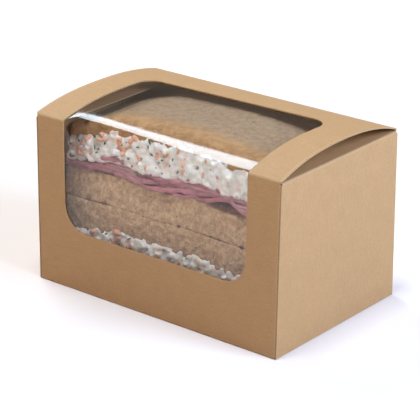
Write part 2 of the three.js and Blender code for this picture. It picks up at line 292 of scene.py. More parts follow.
def settled(x, y, z, lift=0.0):
    """Where a point of the square carton lies in the filled one: flared ends, a leaning front and a bowed top."""
    up = z / WALL_HEIGHT
    return Vector((
        x * (1 + END_FLARE * up / HALF_LENGTH),
        y + FRONT_LEAN * up * (HALF_DEPTH - y) / BOX_DEPTH,
        z + lift * bow(x, y),
    ))


def outer_skin(thickness, **more):
    """The modifier that gives a sheet its thickness, inwards from its outer face."""
    return ("SOLIDIFY", {"thickness": thickness, "offset": -1, "use_even_offset": True, **more})


BOARD_WALL = outer_skin(BOARD, material_offset_rim=1)
SLEEVE_LOW = 0.15 * MM
DUST_FACE = HALF_LENGTH - BOARD - DUST_GAP
BEND_X = DUST_FACE - DUST_FOLD_RADIUS
DUST_QUARTER = DUST_FOLD_RADIUS * math.pi / 2
QUARTER = FOLD_RADIUS * math.pi / 2
SLEEVE_RUNS = [
    (WALL_HEIGHT - FOLD_RADIUS - SLEEVE_LOW, FOLD_RADIUS),
    (BOX_DEPTH - 2 * FOLD_RADIUS, FOLD_RADIUS),
    (WALL_HEIGHT - 2 * FOLD_RADIUS, FOLD_RADIUS),
    (BOX_DEPTH - FOLD_RADIUS - BOARD - SEAM_CLEARANCE - SEAM_RADIUS, SEAM_RADIUS),
    (SEAM_FLAP_HEIGHT - SEAM_RADIUS, 0),
]
TOP_START = SLEEVE_RUNS[0][0] + QUARTER
TOP_END = TOP_START + SLEEVE_RUNS[1][0]
FRONT_START = TOP_END + QUARTER
FRONT_END = FRONT_START + SLEEVE_RUNS[2][0]
BASE_START = FRONT_END + QUARTER
BASE_END = BASE_START + SLEEVE_RUNS[3][0]
SEAM_START = BASE_END + SEAM_RADIUS * math.pi / 2
SEAM_END = SEAM_START + SLEEVE_RUNS[4][0]


def on_back(z):
    return z - SLEEVE_LOW


def on_front(z):
    return FRONT_START + WALL_HEIGHT - FOLD_RADIUS - z


def on_dust_flap(distance):
    """True where the blank widens into dust flaps."""
    low, high = FOLD_RADIUS, WALL_HEIGHT - DUST_FLAP_DROP
    return (on_back(low) - SAME_PLACE < distance < on_back(high) + SAME_PLACE
            or on_front(high) - SAME_PLACE < distance < on_front(low) + SAME_PLACE)


def between(low, value, high):
    """True inside a fold, but not on its two ends."""
    return low + SAME_PLACE < value < high - SAME_PLACE


def sleeve_outline():
    root = BEND_X + DUST_QUARTER
    tip = root + DUST_FLAP_WIDTH
    low, high = FOLD_RADIUS, WALL_HEIGHT - DUST_FLAP_DROP
    base_end = HALF_LENGTH - BOARD - HINGE_GAP
    seam_end = HALF_LENGTH - 2 * BOARD - PAPER_GAP - FOLD_RADIUS

    def dust_flap(height, bottom, top):
        taper = (top - bottom) * DUST_FLAP_TAPER / abs(top - bottom)
        return [
            ((BEND_X, height(bottom)), 0),
            ((root, height(bottom)), 0),
            ((tip, height(bottom + taper)), DUST_CORNER_RADIUS),
            ((tip, height(top - taper)), DUST_CORNER_RADIUS),
            ((root, height(top)), 0),
            ((BEND_X, height(top)), 0),
        ]

    return mirrored_outline([
        ((BEND_X, 0), 0),
        *dust_flap(on_back, low, high),
        ((HALF_LENGTH, TOP_START), 0),
        ((HALF_LENGTH, TOP_END), 0),
        *dust_flap(on_front, high, low),
        ((base_end, BASE_START), 0),
        ((base_end, BASE_END), 0),
        ((seam_end, SEAM_START), 0),
        ((seam_end - SEAM_FLAP_TAPER, SEAM_END), SEAM_FLAP_TAPER / 3),
    ])


def window_outline():
    left = -WINDOW_LENGTH / 2
    back = TOP_START + BACK_STRIP - FOLD_RADIUS
    sill = on_front(WINDOW_SILL)
    return [
        ((left, back), BACK_CORNER_RADIUS),
        ((WINDOW_RIGHT_EDGE, back), BACK_RIGHT_RADIUS),
        ((WINDOW_RIGHT_EDGE, sill), SILL_RADIUS),
        ((left, sill), SILL_RADIUS),
    ]


def mark_creases(bm, is_crease):
    """Marks the vertices on folds, where the board's surface is rubbed."""
    layer = bm.verts.layers.float.new("crease")
    for vert in bm.verts:
        vert[layer] = 1.0 if is_crease(vert.co.x, vert.co.y) else 0.0


def fold_sleeve(vert):
    """Moves a vertex of the flat sheet to its place on the folded and filled carton."""
    x, distance = vert.co.x, vert.co.y
    place, outward = along_folds((HALF_DEPTH, SLEEVE_LOW), (0, 1), SLEEVE_RUNS, distance)
    past = abs(x) - BEND_X
    if past > 0 and on_dust_flap(distance):
        spot, _ = along_folds((0, BEND_X), (0, 1), [(0, DUST_FOLD_RADIUS), (DUST_FLAP_WIDTH, 0)], past)
        place = place + outward * spot.x
        x = math.copysign(spot.y, x)
    on_top = place.y >= WALL_HEIGHT - FOLD_RADIUS - SEAM_CLEARANCE
    vert.co = settled(x, place.x, place.y, 1.0 if on_top and not on_dust_flap(distance) else 0.0)


def make_sleeve(board, edge):
    bends = [BEND_X + DUST_QUARTER * i / FOLD_SEGMENTS for i in range(FOLD_SEGMENTS + 1)]
    across = both_ways(bends) + steps(-BEND_X, BEND_X, SLEEVE_COLUMNS)
    along = fold_marks(SLEEVE_RUNS, FOLD_SEGMENTS)
    along += steps(0, TOP_START - QUARTER, WALL_ROWS) + steps(TOP_START, TOP_END, TOP_ROWS)
    along += steps(FRONT_START, FRONT_END, WALL_ROWS) + steps(BASE_START, BASE_END, BASE_ROWS)
    bm = flat_sheet([sleeve_outline(), window_outline()], across, along)
    folds = [(TOP_START - QUARTER, TOP_START), (TOP_END, FRONT_START), (FRONT_END, BASE_START)]
    mark_creases(bm, lambda x, y: any(between(start, y, end) for start, end in folds)
                 or between(BEND_X, abs(x), BEND_X + DUST_QUARTER))
    for vert in bm.verts:
        fold_sleeve(vert)
    bmesh.ops.reverse_faces(bm, faces=bm.faces[:])
    return finished_object("folded_sleeve", bm, [board, edge], [BOARD_WALL])


PANEL_LOW = BOARD + HINGE_GAP
TUCK_HIGH = WALL_HEIGHT - BOARD - PAPER_GAP
PANEL_RUNS = [(TUCK_HIGH - FOLD_RADIUS - PANEL_LOW, FOLD_RADIUS), (TUCK_DEPTH - FOLD_RADIUS, 0)]


def make_end_flap(name, side, board, edge):
    """An end panel with its tuck flap folded in at the top."""
    half = HALF_DEPTH - END_PANEL_INSET
    tuck_half = HALF_DEPTH - TUCK_INSET
    panel_end = PANEL_RUNS[0][0]
    tuck_start = panel_end + QUARTER
    tuck_end = tuck_start + PANEL_RUNS[1][0]
    outline = mirrored_outline([
        ((half, 0), 0),
        ((half, panel_end - PANEL_NECK), PANEL_CORNER_RADIUS),
        ((tuck_half, panel_end + PANEL_NECK), NECK_RADIUS),
        ((tuck_half, tuck_start), 0),
        ((tuck_half - TUCK_TAPER, tuck_end), TUCK_CORNER_RADIUS),
    ])
    along = fold_marks(PANEL_RUNS, FOLD_SEGMENTS)
    along += steps(0, panel_end, PANEL_ROWS) + steps(tuck_start, tuck_end, TUCK_ROWS)
    bm = flat_sheet([outline], steps(-half, half, PANEL_COLUMNS), along, grain_along=True)
    mark_creases(bm, lambda x, y: between(panel_end, y, tuck_start))
    for vert in bm.verts:
        place, _ = along_folds((HALF_LENGTH, PANEL_LOW), (0, 1), PANEL_RUNS, vert.co.y)
        vert.co = settled(side * place.x, vert.co.x, place.y)
    return finished_end(name, bm, side, board, edge)


def make_end_crease(name, side, board, edge):
    """The quarter fold that joins the base to an end panel."""
    half = HALF_DEPTH - END_PANEL_INSET
    radius = PANEL_LOW
    arc = radius * math.pi / 2
    bm = flat_sheet([mirrored_outline([((half, 0), 0), ((half, arc), 0)])],
                    steps(-half, half, PANEL_COLUMNS), steps(0, arc, FOLD_SEGMENTS), grain_along=True)
    mark_creases(bm, lambda x, y: True)
    for vert in bm.verts:
        angle = vert.co.y / radius
        x = HALF_LENGTH - radius + radius * math.sin(angle)
        vert.co = settled(side * x, vert.co.x, radius - radius * math.cos(angle))
    return finished_end(name, bm, side, board, edge)


def finished_end(name, bm, side, board, edge):
    """A sheet of one end with its thickness. At the left end its faces are turned to look outwards."""
    if side < 0:
        bmesh.ops.reverse_faces(bm, faces=bm.faces[:])
    return finished_object(name, bm, [board, edge], [BOARD_WALL])


# The window film

def smooth(share):
    """A share that eases in and out between none and all."""
    share = min(1, max(0, share))
    return share * share * (3 - 2 * share)


def film_shoulder(x):
    """How far the film's rounding over the front fold reaches down the front and back along the top. It is slack at
    the left, and tight where it is glued to the board."""
    towards_right = smooth((x - SHOULDER_EASE_START) / SHOULDER_EASE_LENGTH)
    free = smooth((WINDOW_LENGTH / 2 + GLUED_OVERLAP - abs(x)) / GLUED_EASE)
    slack = [low + (high - low) * towards_right for low, high in (SHOULDER_DROP, SHOULDER_REACH)]
    return [SHOULDER_AT_GLUE + (size - SHOULDER_AT_GLUE) * free for size in slack]


def make_film(clear):
    """One sheet of film inside the board, up the front, round the shoulder and back under the top."""
    face = -HALF_DEPTH + BOARD + GLUE_GAP
    ceiling = WALL_HEIGHT - BOARD - GLUE_GAP
    low = WINDOW_SILL - FILM_MARGIN
    back = HALF_DEPTH - BACK_STRIP + FILM_MARGIN
    half = WINDOW_LENGTH / 2 + FILM_MARGIN
    bm = bmesh.new()
    bmesh.ops.create_grid(bm, x_segments=FILM_COLUMNS, y_segments=FILM_ROWS, size=1)
    for vert in bm.verts:
        x = vert.co.x * half
        share = (vert.co.y + 1) / 2
        drop, reach = film_shoulder(x)
        if share < FILM_RISE_END:
            y = face
            z = low + (ceiling - drop - low) * share / FILM_RISE_END
        elif share < FILM_TURN_END:
            turn = (share - FILM_RISE_END) / (FILM_TURN_END - FILM_RISE_END)
            y = face + reach * turn ** 2
            z = ceiling - drop * (1 - turn) ** 2
        else:
            y = face + reach + (back - face - reach) * (share - FILM_TURN_END) / (1 - FILM_TURN_END)
            z = ceiling
        lift = min(1, max(0, (z - ceiling + drop) / (drop - FILM_THICKNESS)))
        vert.co = settled(x, y, z, lift)
    return finished_object("clear_film", bm, [clear], [outer_skin(FILM_THICKNESS)])


# The food

# Each layer's lower and upper height in millimetres, the share of the top's slope that its upper surface has, and
# that surface's ripple in millimetres
LAYERS = {
    "lower_sandwich_bottom_bread": (0.8, 11.8, 0.1, 0.2),
    "lower_sandwich_ham_1": (12.1, 13.6, 0.15, 0.3),
    "lower_sandwich_ham_2": (13.9, 15.4, 0.2, 0.4),
    "lower_sandwich_coleslaw": (15.7, 24.8, 0.6, 0.3),
    "lower_sandwich_top_bread": (24.7, 35.75, 0.05, 0.2),
    "upper_sandwich_bottom_bread": (35.8, 47.8, 0, 0.6),
    "upper_sandwich_ham_1": (48.1, 50.2, 0.05, 0.8),
    "upper_sandwich_ham_2": (50.5, 52.6, 0.15, 1.0),
    "upper_sandwich_ham_3": (52.9, 55.0, 0.3, 1.2),
    "upper_sandwich_coleslaw": (55.0, 65.3, 0.95, 0.3),
    "upper_sandwich_top_bread": (65.1, 72.5, 1.0, 0.2),
}
TOP_SLICE = "upper_sandwich_top_bread"
HIDDEN_SLICE = "lower_sandwich_bottom_bread"


def wave(x, slope, ripple):
    """How far a surface of the stack lies off its mean height."""
    towards_end = min(1, abs(x) / (BREAD_LENGTH / 2)) ** TOP_SLOPE_POWER
    return ripple * MM * math.sin(2 * math.pi * x / RIPPLE_LENGTH) - slope * TOP_SLOPE * towards_end


def layer_heights(name, x):
    """The lower and upper height of a layer at a place along the box."""
    names = list(LAYERS)
    below = LAYERS[names[names.index(name) - 1]] if names.index(name) else (0, 0, 0, 0)
    low, high, slope, ripple = LAYERS[name]
    return low * MM + wave(x, *below[2:]), high * MM + wave(x, slope, ripple)


def rounded_block(setback, low_rim, high_rim):
    """A block with round plan corners and rounded rims, set back from the stack's faces."""
    bm = bmesh.new()
    bmesh.ops.create_cube(bm, size=1)
    size = (STACK_RIGHT - STACK_LEFT - 2 * setback, BREAD_DEPTH - 2 * setback, BLOCK_HEIGHT)
    bmesh.ops.scale(bm, vec=size, verts=bm.verts)
    bmesh.ops.translate(bm, vec=((STACK_LEFT + STACK_RIGHT) / 2, 0, 0), verts=bm.verts)
    upright = [e for e in bm.edges if abs(e.verts[0].co.z - e.verts[1].co.z) > MM]
    bmesh.ops.bevel(bm, geom=upright, offset=BREAD_CORNER_RADIUS, segments=8, profile=0.5,
                    affect="EDGES", material=-1)
    for side, rim in ((-1, low_rim), (1, high_rim)):
        face = BLOCK_HEIGHT / 2 - SAME_PLACE
        rims = [e for e in bm.edges if all(side * vert.co.z > face for vert in e.verts)]
        bmesh.ops.bevel(bm, geom=rims, offset=rim, segments=4, profile=0.5, affect="EDGES", material=-1)
    return bm


def remeshed(name, bm, voxel):
    """The mesh made again as an even skin of small faces."""
    piece = finished_object(name, bm, [], [("REMESH", {"mode": "VOXEL", "voxel_size": voxel})])
    skin = bmesh.new()
    skin.from_mesh(piece.data)
    bpy.data.objects.remove(piece)
    return skin


def settle_layer(bm, name):
    """Moves a block into a layer's place in the stack."""
    for vert in bm.verts:
        x, y, z = vert.co
        low, high = layer_heights(name, x)
        height = low + (high - low) * (z / BLOCK_HEIGHT + 0.5)
        vert.co = (x, y + STACK_MIDDLE + STACK_SLUMP * height, height)


def waves(spot, octaves):
    """Layers of noise at one place, each a height and a grain size."""
    return sum(height * noise.noise(spot / grain) for height, grain in octaves)


def push_skin(bm, offset_at):
    """Moves the skin in or out along its normals, by what a function says for each place."""
    bm.normal_update()
    moves = [vert.normal * offset_at(vert.co) for vert in bm.verts]
    for vert, move in zip(bm.verts, moves):
        vert.co += move


def make_bread(name, node, material, high_rim, voxel):
    """A slice. The attribute says where it has its crust: the top slice at the front, the others at the ends and the
    back."""
    topmost = node == TOP_SLICE
    bm = remeshed(name, rounded_block(0, BREAD_RIM, high_rim), voxel)
    settle_layer(bm, node)
    layer = bm.verts.layers.float.new("crust")
    for vert in bm.verts:
        inwards = vert.co.y - (STACK_MIDDLE - BREAD_DEPTH / 2 + STACK_SLUMP * vert.co.z)
        if topmost:
            vert[layer] = smooth(1.3 - inwards / TOP_CRUST_REACH)
        else:
            end = min(STACK_RIGHT - vert.co.x, vert.co.x - STACK_LEFT)
            vert[layer] = smooth(1.2 - min(end, BREAD_DEPTH - inwards) / SIDE_CRUST_REACH)
    roughness = CRUST_ROUGHNESS if topmost else CRUMB_ROUGHNESS
    push_skin(bm, lambda spot: roughness * crumb_offset(spot))
    return finished_object(name, bm, [material], sharp_degrees=180)


def crumb_offset(spot):
    """How far the uneven, open crumb lies off its mean surface."""
    pore = noise.noise(spot / PORE_GRAIN + Vector((7, 3, 5)))
    return waves(spot, CRUMB_WAVES) - PORE_DEPTH * max(0, pore - PORE_LEVEL)


def make_ham(name, node, material):
    """Thin slices laid in loose folds. Their edges stand out of the cut face by different amounts, and those of the
    upper half are lifted at one place up to the top of the last layer of ham."""
    bm = bmesh.new()
    length = STACK_RIGHT - STACK_LEFT - 2 * FILLING_SETBACK
    upper = node.startswith("upper")
    last = node[:-1] + ("3" if upper else "2")
    for sheet in range(HAM_SHEETS):
        made = bmesh.ops.create_grid(bm, x_segments=HAM_COLUMNS, y_segments=HAM_ROWS, size=1)["verts"]
        phase = DICE.uniform(0, 40)
        for vert in made:
            x = (STACK_LEFT + STACK_RIGHT + vert.co.x * length) / 2
            depth_share = ((vert.co.y + 1) / 2) ** 1.6
            low, high = layer_heights(node, x)
            high_end = layer_heights(last, x)[1]
            fold = 0.9 * noise.noise(Vector((x / (17 * MM), depth_share, phase)))
            height = low + (high - low) * (sheet + 0.5 + fold) / HAM_SHEETS
            front_weight = 1 - smooth(depth_share * 5)
            frill = 2.2 * MM * noise.noise(Vector((x / (14 * MM), phase, 0)))
            frill += 1.1 * MM * noise.noise(Vector((x / (4 * MM), phase, 5)))
            curl = noise.noise(Vector((x / (9 * MM), phase, 9))) + 0.4 * noise.noise(Vector((x / (3 * MM), phase, 2)))
            y = STACK_MIDDLE - BREAD_DEPTH / 2 + BREAD_DEPTH * depth_share + STACK_SLUMP * height
            y += front_weight * (frill - 0.4 * MM)
            lifted = LIFTED_FOLD * math.exp(-((x - LIFTED_AT) / LIFTED_SPREAD) ** 2) if upper else 0
            rise = 0.9 * MM * curl + lifted * (high_end - height) / HAM_STACK
            vert.co = (x, y, height + front_weight * rise)
    return finished_object(name, bm, [material], [
        ("SOLIDIFY", {"thickness": HAM_THICKNESS, "offset": 0}),
        ("BEVEL", {"width": HAM_EDGE, "segments": 3, "limit_method": "ANGLE"}),
    ], sharp_degrees=80)


def lump(bm, size, place, turn):
    """Adds a turned ellipsoid, given by its three half axes."""
    placed = Matrix.Translation(place) @ turn.to_4x4() @ Matrix.Diagonal((*size, 1))
    bmesh.ops.create_icosphere(bm, subdivisions=2, radius=1, matrix=placed)


def any_turn():
    axis = Vector((DICE.uniform(-1, 1), DICE.uniform(-1, 1), DICE.uniform(-1, 1))).normalized()
    return Matrix.Rotation(DICE.uniform(0, math.pi), 3, axis)


def front_spot(node, margin, proud):
    """A random place on the front face of a layer, or this far in front of it, away from its top and bottom by a
    margin."""
    middle, half = (STACK_LEFT + STACK_RIGHT) / 2, (STACK_RIGHT - STACK_LEFT) / 2
    x = middle + DICE.uniform(-1, 1) * (half - FILLING_SETBACK - 2 * MM)
    low, high = layer_heights(node, x)
    z = DICE.uniform(low + margin, high - margin)
    return Vector((x, STACK_MIDDLE - BREAD_DEPTH / 2 + STACK_SLUMP * z - proud, z))


def make_coleslaw(name, node, material):
    """Dressed cabbage: looser and coarser towards the left, a smoother heap towards the right. It also gives the
    places on the front of the lumps."""
    bm = rounded_block(0.1 * MM, 0.4 * MM, 0.3 * MM)
    settle_layer(bm, node)
    fronts = []
    for _ in range(FRONT_LUMPS):
        spot = front_spot(node, -1.1 * MM, DICE.uniform(-0.8, 0.3) * MM)
        loose = smooth(0.5 - spot.x / (40 * MM))
        size = Vector((DICE.uniform(1.2, 1.9 + 1.4 * loose), DICE.uniform(0.8, 1.5), DICE.uniform(0.8, 1.6))) * MM
        lump(bm, size, spot, any_turn())
        fronts.append(spot - Vector((0, 1.0 * MM, 0)))
    for _ in range(BACKING_LUMPS):
        spot = front_spot(node, -1.0 * MM, DICE.uniform(-1.7, -0.9) * MM)
        lump(bm, BACKING_LUMP, spot, any_turn())
    for _ in range(FRONT_SHREDS):
        size = Vector((DICE.uniform(1.8, 3.6), DICE.uniform(0.8, 1.2), DICE.uniform(0.8, 1.2))) * MM
        lump(bm, size, front_spot(node, 0.2 * MM, DICE.uniform(-0.2, 0.8) * MM), any_turn())
    for end in (STACK_LEFT, STACK_RIGHT):
        for _ in range(END_LUMPS):
            low, high = layer_heights(node, end)
            z = DICE.uniform(low + MM, high - MM)
            y = STACK_MIDDLE + STACK_SLUMP * z + DICE.uniform(-0.46, 0.46) * BREAD_DEPTH
            x = end + math.copysign(DICE.uniform(1.1, 2.4) * MM, -end)
            lump(bm, END_LUMP, (x, y, z), any_turn())
    skin = remeshed(name, bm, CABBAGE_VOXEL)
    soften(skin, 3)
    push_skin(skin, lambda spot: waves(spot, CABBAGE_WAVES))
    push_skin(skin, gap_offset)
    soften(skin, 2)
    return finished_object(name, skin, [material], sharp_degrees=180), fronts


def soften(bm, rounds):
    """Rounds off the sharp places of a skin."""
    for _ in range(rounds):
        bmesh.ops.smooth_vert(bm, verts=bm.verts[:], factor=0.6, use_axis_x=True, use_axis_y=True, use_axis_z=True)


def gap_offset(spot):
    """How far the cabbage is sunk between the lumps, more towards the left."""
    loose = 0.1 + 0.9 * smooth(0.4 - spot.x / (40 * MM))
    hole = max(0, noise.noise(spot / GAP_GRAIN + Vector((1, 4, 9))) - GAP_LEVEL)
    return -GAP_DEPTH * hole * loose


def make_shreds(name, material, count, size_range, spots):
    """Loose pieces on the front of the cabbage, more and larger ones towards the left."""
    bm = bmesh.new()
    for _ in range(count):
        size = Vector([DICE.uniform(*pair) for pair in size_range]) * MM
        spread = Vector((DICE.uniform(-1, 1), DICE.uniform(-0.2, 0.5), DICE.uniform(-1, 1))) * MM
        place = min(DICE.choice(spots), DICE.choice(spots), key=lambda spot: spot.x)
        lump(bm, size * (1.3 - 0.4 * smooth(place.x / (50 * MM) + 0.5)), place + spread, any_turn())
    return finished_object(name, bm, [material], sharp_degrees=180)


# Finishes

class Finish:
    """A node material with a few short ways to add and join its nodes."""

    def __init__(self, name):
        self.material = bpy.data.materials.new(name)
        self.material.use_nodes = True
        self.tree = self.material.node_tree
        self.shader = self.tree.nodes["Principled BSDF"]

    def add(self, kind, settings=None, **inputs):
        node = self.tree.nodes.new(kind)
        for key, value in (settings or {}).items():
            setattr(node, key, value)
        for key, value in inputs.items():
            self.feed(node.inputs[key.replace("_", " ")], value)
        return node

    def feed(self, socket, value):
        if isinstance(value, bpy.types.NodeSocket):
            self.tree.links.new(value, socket)
        else:
            socket.default_value = value

    def set(self, name, value):
        self.feed(self.shader.inputs[name], value)

    def coordinates(self, stretch, source="Object"):
        where = self.add("ShaderNodeTexCoord").outputs[source]
        mapping = self.add("ShaderNodeMapping", Scale=stretch)
        self.feed(mapping.inputs["Vector"], where)
        return mapping.outputs[0]

    def noise(self, where, scale, detail, roughness=0.55):
        return self.add("ShaderNodeTexNoise", Vector=where, Scale=scale, Detail=detail,
                        Roughness=roughness).outputs["Fac"]

    def ramp(self, value, *stops):
        node = self.add("ShaderNodeValToRGB", Fac=value)
        elements = node.color_ramp.elements
        while len(elements) < len(stops):
            elements.new(0.5)
        for element, (position, colour) in zip(elements, stops):
            element.position = position
            element.color = (*colour, 1)
        return node.outputs[0]

    def level(self, value, low, high, low_out=0.0, high_out=1.0):
        node = self.add("ShaderNodeMapRange")
        for index, number in enumerate((value, low, high, low_out, high_out)):
            self.feed(node.inputs[index], number)
        return node.outputs[0]

    def mix(self, factor, first, second):
        """The first colour, a socket, mixed with the second, a socket or three numbers."""
        node = self.add("ShaderNodeMix", {"data_type": "RGBA"})
        self.feed(node.inputs[0], factor)
        self.feed(node.inputs[6], first)
        self.feed(node.inputs[7], second if isinstance(second, bpy.types.NodeSocket) else (*second, 1))
        return node.outputs[2]

    def let_light_in(self, weight, radius):
        self.set("Subsurface Weight", weight)
        self.set("Subsurface Radius", radius)
        self.set("Subsurface Scale", 1.0)

    def attribute(self, name):
        return self.add("ShaderNodeAttribute", {"attribute_name": name}).outputs["Fac"]

    def bump(self, height, strength, distance, before=None):
        node = self.add("ShaderNodeBump", Height=height, Strength=strength, Distance=distance)
        if before is not None:
            self.feed(node.inputs["Normal"], before)
        return node.outputs[0]


def kraft_board():
    """Uncoated brown board with long fibres, cloudy mottling, dark and pale flecks and rubbed folds."""
    finish = Finish("folded_kraft_board")
    flat = finish.coordinates((1, 1, 1), "UV")
    fibres = finish.coordinates((0.12, 1, 1), "UV")
    clouds = finish.noise(flat, 140, 4)
    streaks = finish.noise(fibres, 1500, 4, 0.65)
    fleck = finish.noise(finish.coordinates((0.35, 1, 1), "UV"), 2600, 2)
    colour = finish.ramp(clouds, (0.3, (0.457, 0.248, 0.101)), (0.7, (0.509, 0.284, 0.124)))
    cloud_banks = finish.noise(finish.coordinates((0.6, 1, 1), "UV"), 28, 2)
    colour = finish.mix(finish.level(cloud_banks, 0.35, 0.7, 0, 0.3), colour, (0.520, 0.275, 0.108))
    colour = finish.mix(finish.level(streaks, 0.35, 0.65, 0, 0.42), colour, (0.370, 0.205, 0.082))
    colour = finish.mix(finish.level(fleck, 0.58, 0.72, 0, 0.5), colour, (0.280, 0.150, 0.065))
    colour = finish.mix(finish.level(fleck, 0.42, 0.28, 0, 0.3), colour, (0.640, 0.410, 0.215))
    colour = finish.mix(finish.level(finish.attribute("crease"), 0, 1, 0, 0.22), colour, (0.690, 0.470, 0.270))
    finish.set("Base Color", colour)
    finish.set("Roughness", finish.level(clouds, 0.3, 0.7, 0.62, 0.74))
    finish.set("Specular IOR Level", 0.45)
    normal = finish.bump(streaks, 0.2, 0.05 * MM)
    finish.set("Normal", finish.bump(clouds, 0.15, 0.08 * MM, normal))
    return finish.material


def board_edge():
    """The fibrous cut edge of the board."""
    finish = Finish("board_cut_edge")
    fibres = finish.noise(finish.coordinates((1, 1, 4)), 1800, 3)
    finish.set("Base Color", finish.ramp(fibres, (0.3, (0.33, 0.19, 0.085)), (0.7, (0.48, 0.30, 0.145))))
    finish.set("Roughness", 0.9)
    finish.set("Normal", finish.bump(fibres, 0.4, 0.08 * MM))
    return finish.material


def window_film():
    """Clear film: it shows what is behind it and mirrors more at a slant."""
    finish = Finish("clear_window_film")
    tree = finish.tree
    tree.nodes.remove(finish.shader)
    clear = finish.add("ShaderNodeBsdfTransparent", Color=(0.97, 0.965, 0.96, 1))
    ripples = finish.noise(finish.coordinates((1, 1, 1)), 60, 1)
    normal = finish.bump(ripples, 0.06, 0.06 * MM)
    gloss = finish.add("ShaderNodeBsdfAnisotropic", Color=(1, 1, 1, 1), Roughness=0.07, Normal=normal)
    fresnel = finish.add("ShaderNodeFresnel", IOR=1.62, Normal=normal).outputs[0]
    behind = finish.add("ShaderNodeNewGeometry").outputs["Backfacing"]
    mixed = finish.add("ShaderNodeMixShader")
    tree.links.new(finish.level(behind, 0, 1, fresnel, 0), mixed.inputs[0])
    tree.links.new(clear.outputs[0], mixed.inputs[1])
    tree.links.new(gloss.outputs[0], mixed.inputs[2])
    tree.links.new(mixed.outputs[0], tree.nodes["Material Output"].inputs["Surface"])
    return finish.material


def bread_crumb(name, dark, pale):
    """Brown crumb with pores and bran specks, painted shade in the pores, and an orange-brown crust where the
    attribute says.
    """
    finish = Finish(name)
    where = finish.coordinates((1, 1, 1))
    clouds = finish.noise(where, 420, 5, 0.7)
    pores = finish.add("ShaderNodeTexVoronoi", Vector=where, Scale=620).outputs["Distance"]
    bran = finish.noise(where, 850, 2)
    crumb = finish.ramp(clouds, (0.37, dark), (0.63, pale))
    # Painted shade: the crumb is darker towards the middle of each pore.
    crumb = finish.mix(finish.level(pores, 0.1, 0.45, 0.5, 0), crumb, (0.380, 0.220, 0.115))
    crumb = finish.mix(finish.level(bran, 0.63, 0.69, 0, 0.75), crumb, (0.260, 0.140, 0.065))
    crust = finish.ramp(finish.noise(where, 260, 5), (0.3, (0.390, 0.195, 0.075)), (0.7, (0.600, 0.345, 0.155)))
    finish.set("Base Color", finish.mix(finish.attribute("crust"), crumb, crust))
    finish.set("Roughness", 0.88)
    finish.set("Specular IOR Level", 0.25)
    finish.let_light_in(0.08, (0.004, 0.002, 0.001))
    normal = finish.bump(pores, 0.55, 0.35 * MM)
    finish.set("Normal", finish.bump(finish.noise(where, 1400, 3), 0.4, 0.15 * MM, normal))
    return finish.material


def cooked_ham():
    """Moist mauve-pink meat with paler streaks of fat and a grain along the slice."""
    finish = Finish("cooked_ham")
    grain = finish.noise(finish.coordinates((0.25, 0.6, 1.6)), 420, 4)
    clouds = finish.noise(finish.coordinates((1, 1, 1)), 110, 3)
    colour = finish.ramp(grain, (0.32, (0.340, 0.092, 0.104)), (0.68, (0.580, 0.212, 0.228)))
    colour = finish.mix(finish.level(clouds, 0.55, 0.75, 0, 0.6), colour, (0.620, 0.360, 0.350))
    finish.set("Base Color", colour)
    finish.set("Roughness", finish.level(grain, 0.3, 0.7, 0.32, 0.5))
    finish.let_light_in(0.2, (0.006, 0.002, 0.002))
    finish.set("Normal", finish.bump(grain, 0.4, 0.2 * MM))
    return finish.material


def creamy_cabbage():
    """White cabbage in dressing, a little translucent, with yellowish, orange and greenish pieces."""
    finish = Finish("creamy_cabbage")
    where = finish.coordinates((1, 1, 1))
    clouds = finish.noise(where, 230, 4)
    tint = finish.noise(where, 90, 2)
    colour = finish.ramp(clouds, (0.3, (0.910, 0.810, 0.700)), (0.55, (1.000, 0.925, 0.845)))
    colour = finish.mix(finish.level(tint, 0.55, 0.75, 0, 0.5), colour, (0.780, 0.720, 0.560))
    pieces = finish.add("ShaderNodeTexVoronoi", Vector=where, Scale=270).outputs["Color"]
    colour = finish.mix(finish.level(pieces, 0.66, 0.74, 0, 0.45), colour, (0.880, 0.560, 0.420))
    colour = finish.mix(finish.level(pieces, 0.30, 0.24, 0, 0.35), colour, (0.520, 0.560, 0.430))
    finish.set("Base Color", colour)
    finish.set("Roughness", 0.35)
    finish.let_light_in(0.4, (0.003, 0.003, 0.002))
    finish.set("Normal", finish.bump(finish.noise(where, 700, 3), 0.35, 0.2 * MM))
    return finish.material


def vegetable(name, dark, pale, roughness):
    """Moist pieces of carrot or herb."""
    finish = Finish(name)
    grain = finish.noise(finish.coordinates((1, 1, 1)), 700, 3)
    finish.set("Base Color", finish.ramp(grain, (0.3, dark), (0.7, pale)))
    finish.set("Roughness", finish.level(grain, 0.3, 0.7, roughness - 0.08, roughness + 0.08))
    finish.let_light_in(0.15, (0.002, 0.001, 0.001))
    finish.set("Normal", finish.bump(grain, 0.3, 0.12 * MM))
    return finish.material


# Camera, floor and light

CAMERA_AZIMUTH = math.radians(40.13)
CAMERA_ELEVATION = math.radians(22.004)
CAMERA_ROLL = math.radians(-0.686)
CAMERA_DISTANCE = 807.4 * MM
CAMERA_TARGET = Vector((-1.75 * MM, 0, 33.36 * MM))
SENSOR_WIDTH = 36.0
FOCAL_LENGTH = 170.06
CLIP_START = 0.05

FLOOR_HALF_WIDTH = 3
FLOOR_DROP = 0.05 * MM
FLOOR_COLOUR = (0.88, 0.77, 0.70, 1)
GLOW_START = 0.2
GLOW_END = 0.8
GLOW_NEAR = 0.02
GLOW_FAR = 1.0

WORLD_COLOUR = (1, 0.86, 0.74, 1)
WORLD_STRENGTH = 0.2
WHITE = (1, 1, 1, 1)

